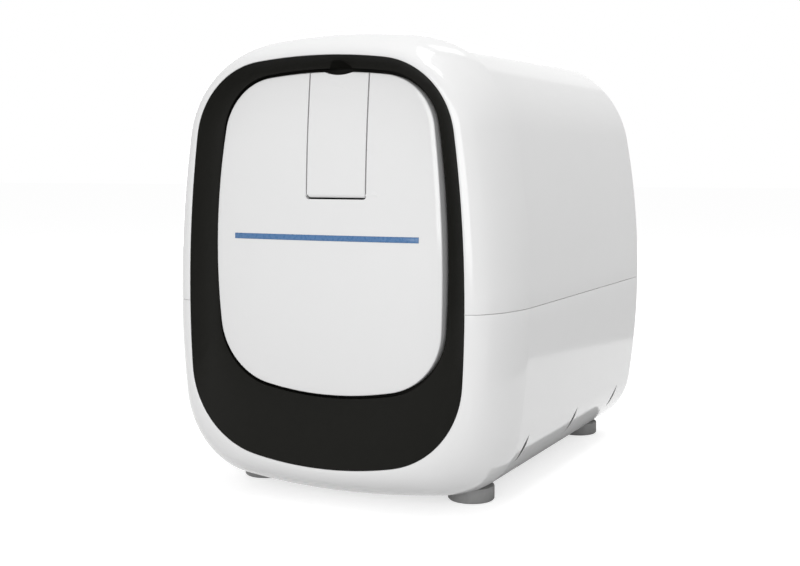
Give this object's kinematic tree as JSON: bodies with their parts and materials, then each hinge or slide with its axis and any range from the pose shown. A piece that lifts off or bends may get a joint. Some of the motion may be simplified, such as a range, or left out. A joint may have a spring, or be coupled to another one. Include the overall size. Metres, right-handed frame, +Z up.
{
  "type": "automated cell counter",
  "caption": "Benchtop image-based cell counter: rounded white housing, dished black bezel, convex front panel with a drop-down slide door and a blue light bar.",
  "frame": {"origin": "on the table below the middle of the housing", "axes": "+X to the instrument's left-to-right as seen from the front, +Y to the rear, +Z up; the front faces -Y"},
  "size_m": [0.199, 0.2588, 0.249],
  "materials": {
    "housing_white": "high gloss moulded",
    "bezel_black": "fine matt texture",
    "bar_blue": "translucent diffuser",
    "rear_white": "fine satin texture",
    "rubber_grey": "matt",
    "steel": "zinc plated",
    "magnet_grey": "nickel plated",
    "board_green": "solder mask",
    "aluminium": "clear anodised",
    "anodised_black": "black anodised",
    "lens_chrome": "satin chrome",
    "brass": "turned",
    "dark_plastic": "fine satin"
  },
  "bodies": {
    "instrument": {"upper_shell": "housing_white", "lower_shell": "housing_white", "front_bezel": "bezel_black", "front_panel": "housing_white", "door_hinge_pin": "steel", "door_magnet": "magnet_grey", "light_bar": "bar_blue", "light_bar_board": "board_green", "rear_panel": "rear_white", "front_left_foot": "rubber_grey", "front_right_foot": "rubber_grey", "rear_left_foot": "rubber_grey", "rear_right_foot": "rubber_grey", "foot_screws": "steel", "shell_screws": "steel", "panel_screws": "steel", "rear_panel_screws": "steel", "chassis": "steel", "deck_posts": "aluminium", "stage_deck": "aluminium", "bay_hood": "dark_plastic", "front_rod_block": "anodised_black", "rear_rod_block": "anodised_black", "guide_rods": "steel", "tray_motor": "anodised_black", "optics_plate": "aluminium", "focus_rail": "steel", "focus_motor": "anodised_black", "filter_cube": "anodised_black", "tube_lens": "anodised_black", "camera": "anodised_black", "led_tube": "anodised_black", "led_heatsink": "aluminium", "lamp_arm": "aluminium", "lamp_head": "anodised_black", "main_board": "board_green", "board_standoffs": "brass", "network_socket": "steel", "usb_sockets": "steel", "power_inlet": "dark_plastic", "power_switch": "dark_plastic", "fan_frame": "dark_plastic", "fan_screws": "steel"},
    "door": {"loading_door": "housing_white", "door_keeper": "steel"},
    "tray": {"slide_tray": "aluminium"},
    "clip": {"slide_clip": "steel"},
    "tray_drive_screw": {"tray_screw": "steel"},
    "focus_unit": {"focus_carriage": "aluminium", "objective": "lens_chrome"},
    "focus_drive_screw": {"focus_screw": "steel"},
    "rocker": {"power_rocker": "dark_plastic"},
    "rotor": {"fan_rotor": "dark_plastic"}
  },
  "joints": [
    {"name": "door_hinge", "type": "hinge", "parent": "instrument", "child": "door", "pos_m": [0.0079, -0.12483, 0.1632], "axis": [1, 0, 0], "range_deg": [0, 90]},
    {"name": "tray_slide", "type": "slide", "parent": "instrument", "child": "tray", "axis": [0, 1, 0], "range_m": [0, 0.075]},
    {"name": "clip_pivot", "type": "hinge", "parent": "tray", "child": "clip", "pos_m": [-0.0089, -0.0641, 0.1723], "axis": [0, 0, -1], "range_deg": [0, 12], "stiffness_Nm_per_rad": 0.005},
    {"name": "tray_screw_spin", "type": "hinge", "parent": "instrument", "child": "tray_drive_screw", "pos_m": [-0.0291, 0, 0.166], "axis": [0, -1, 0], "range_deg": [0, 3376]},
    {"name": "focus_slide", "type": "slide", "parent": "instrument", "child": "focus_unit", "axis": [0, 0, 1], "range_m": [-0.002, 0.002]},
    {"name": "focus_screw_spin", "type": "hinge", "parent": "instrument", "child": "focus_drive_screw", "pos_m": [0.0359, -0.0174, 0.13], "axis": [0, 0, -1], "range_deg": [-181, 181]},
    {"name": "rocker_pivot", "type": "hinge", "parent": "instrument", "child": "rocker", "pos_m": [-0.058, 0.1214, 0.0376], "axis": [1, 0, 0], "range_deg": [-16, 0]},
    {"name": "fan_spin", "type": "hinge", "parent": "instrument", "child": "rotor", "pos_m": [-0.035, 0.1134, 0.15], "axis": [0, 1, 0], "continuous": true}
  ],
  "couplings": [
    {"joint": "tray_screw_spin", "follows": "tray_slide", "rad_per_m": 785.4},
    {"joint": "focus_screw_spin", "follows": "focus_slide", "rad_per_m": 1570.8}
  ]
}
